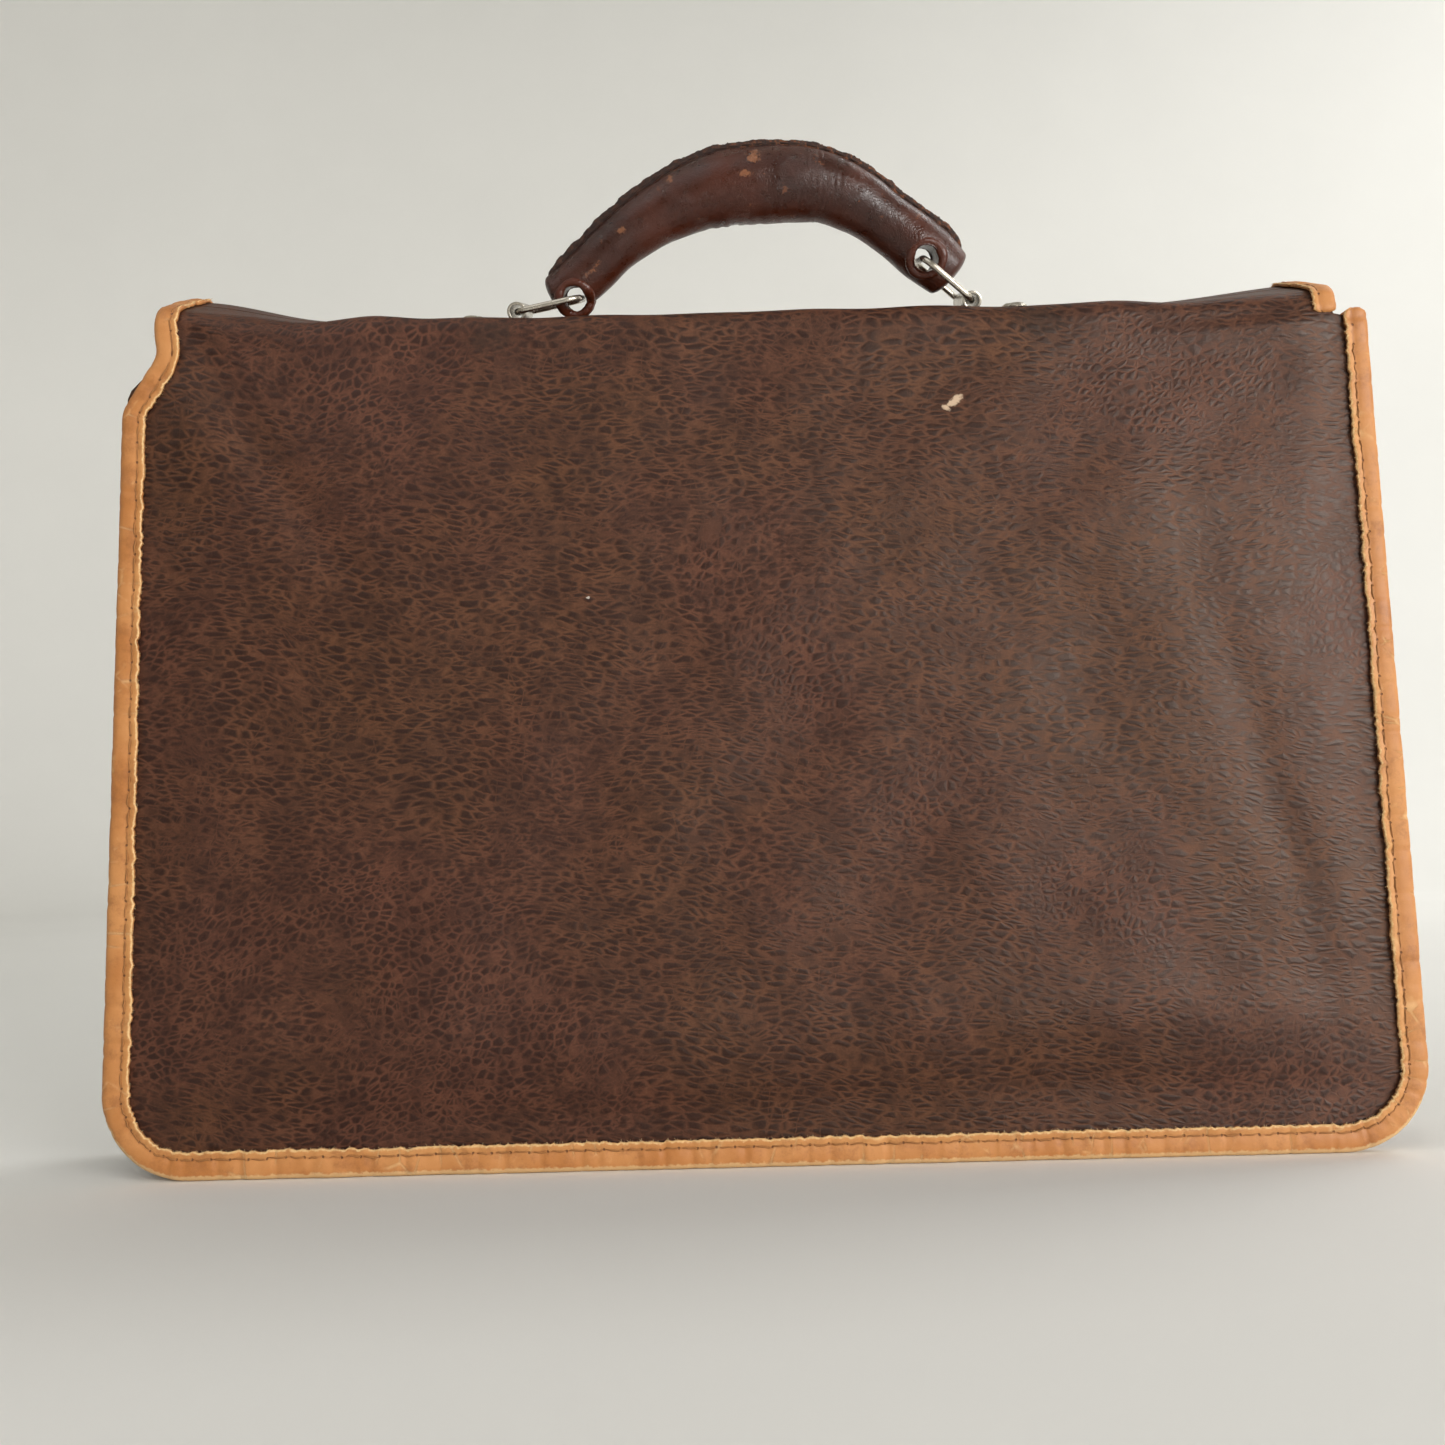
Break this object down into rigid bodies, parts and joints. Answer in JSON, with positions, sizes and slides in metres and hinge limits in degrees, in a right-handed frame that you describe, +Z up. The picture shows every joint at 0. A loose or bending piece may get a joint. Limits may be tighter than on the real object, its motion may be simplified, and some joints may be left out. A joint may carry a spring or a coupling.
{
  "type": "briefcase",
  "caption": "Slim leather briefcase with a folding flap, a bound edge, folding side gussets, a turn lock and a stuffed handle on two wire rings.",
  "frame": {"origin": "centre of the object's footprint, at the level that its bound bottom seams stand on", "axes": "+X along the case's width, +Y towards the flap's front and the lock, +Z up; the plain back panel faces -Y"},
  "size_m": [0.3928, 0.054, 0.3128],
  "materials": {
    "brown_leatherette": "creased, half matte",
    "tan_binding": "worn and cracked, matte",
    "lining_cloth": "matte weave",
    "handle_leather": "polished by use",
    "handle_filling": "matte rope",
    "nickel": "aged nickel plate",
    "steel_bar": "plain rolled"
  },
  "bodies": {
    "case": {"back_panel": "brown_leatherette", "back_lining": "lining_cloth", "bottom_gusset": "brown_leatherette", "side_gusset_left": "brown_leatherette", "side_gusset_right": "brown_leatherette", "back_binding": "tan_binding"},
    "front_panel": {"front_panel": "brown_leatherette", "front_lining": "lining_cloth", "front_binding": "tan_binding", "lock_base": "nickel", "lock_backplate": "nickel", "lock_base_rivet_left": "nickel", "lock_base_rivet_right": "nickel"},
    "lock_knob": {"lock_knob": "nickel"},
    "flap_top": {"flap_top": "brown_leatherette", "flap_top_lining": "lining_cloth", "top_bar": "steel_bar", "flap_top_binding_left": "tan_binding", "flap_top_binding_right": "tan_binding", "handle_bracket_left": "nickel", "handle_bracket_right": "nickel", "bracket_rivet_left_back": "nickel", "bracket_rivet_left_front": "nickel", "bracket_rivet_right_back": "nickel", "bracket_rivet_right_front": "nickel"},
    "flap_front": {"flap_front": "brown_leatherette", "flap_front_lining": "lining_cloth", "flap_front_binding": "tan_binding", "lock_eyelet": "nickel", "eyelet_rivet_left": "nickel", "eyelet_rivet_right": "nickel"},
    "ring_left": {"ring_left": "nickel"},
    "ring_right": {"ring_right": "nickel"},
    "handle": {"handle_cover": "handle_leather", "handle_core": "handle_filling"}
  },
  "joints": [
    {"name": "flap_top_fold", "type": "hinge", "parent": "case", "child": "flap_top", "pos_m": [0, -0.0175, 0.256], "axis": [1, 0, 0], "range_deg": [0, 110]},
    {"name": "flap_front_fold", "type": "hinge", "parent": "flap_top", "child": "flap_front", "pos_m": [0, 0.01223, 0.26618], "axis": [1, 0, 0], "range_deg": [0, 85]},
    {"name": "mouth_opening", "type": "hinge", "parent": "case", "child": "front_panel", "pos_m": [0, 0.02266, 0.0003], "axis": [-1, 0, 0], "range_deg": [0, 6]},
    {"name": "lock_turn", "type": "hinge", "parent": "front_panel", "child": "lock_knob", "pos_m": [0, 0.02073, 0.14247], "axis": [0, 0.9979, 0.0645], "range_deg": [0, 90]},
    {"name": "ring_left_swing", "type": "hinge", "parent": "flap_top", "child": "ring_left", "pos_m": [-0.071, -0.00396, 0.26497], "axis": [0, -0.946, -0.3241], "range_deg": [0, 19.2]},
    {"name": "ring_right_swing", "type": "hinge", "parent": "flap_top", "child": "ring_right", "pos_m": [0.071, -0.00396, 0.26497], "axis": [0, -0.946, -0.3241], "range_deg": [0, 9.8]},
    {"name": "handle_swing", "type": "hinge", "parent": "ring_left", "child": "handle", "pos_m": [-0.05137, -0.0052, 0.26858], "axis": [0, -0.946, -0.3241], "range_deg": [-24.04, 0]}
  ],
  "couplings": [
    {"joint": "mouth_opening", "follows": "flap_top_fold", "ratio": 0.0545},
    {"joint": "ring_right_swing", "follows": "ring_left_swing", "ratio": 0.51},
    {"joint": "handle_swing", "follows": "ring_left_swing", "ratio": -1.2516}
  ]
}
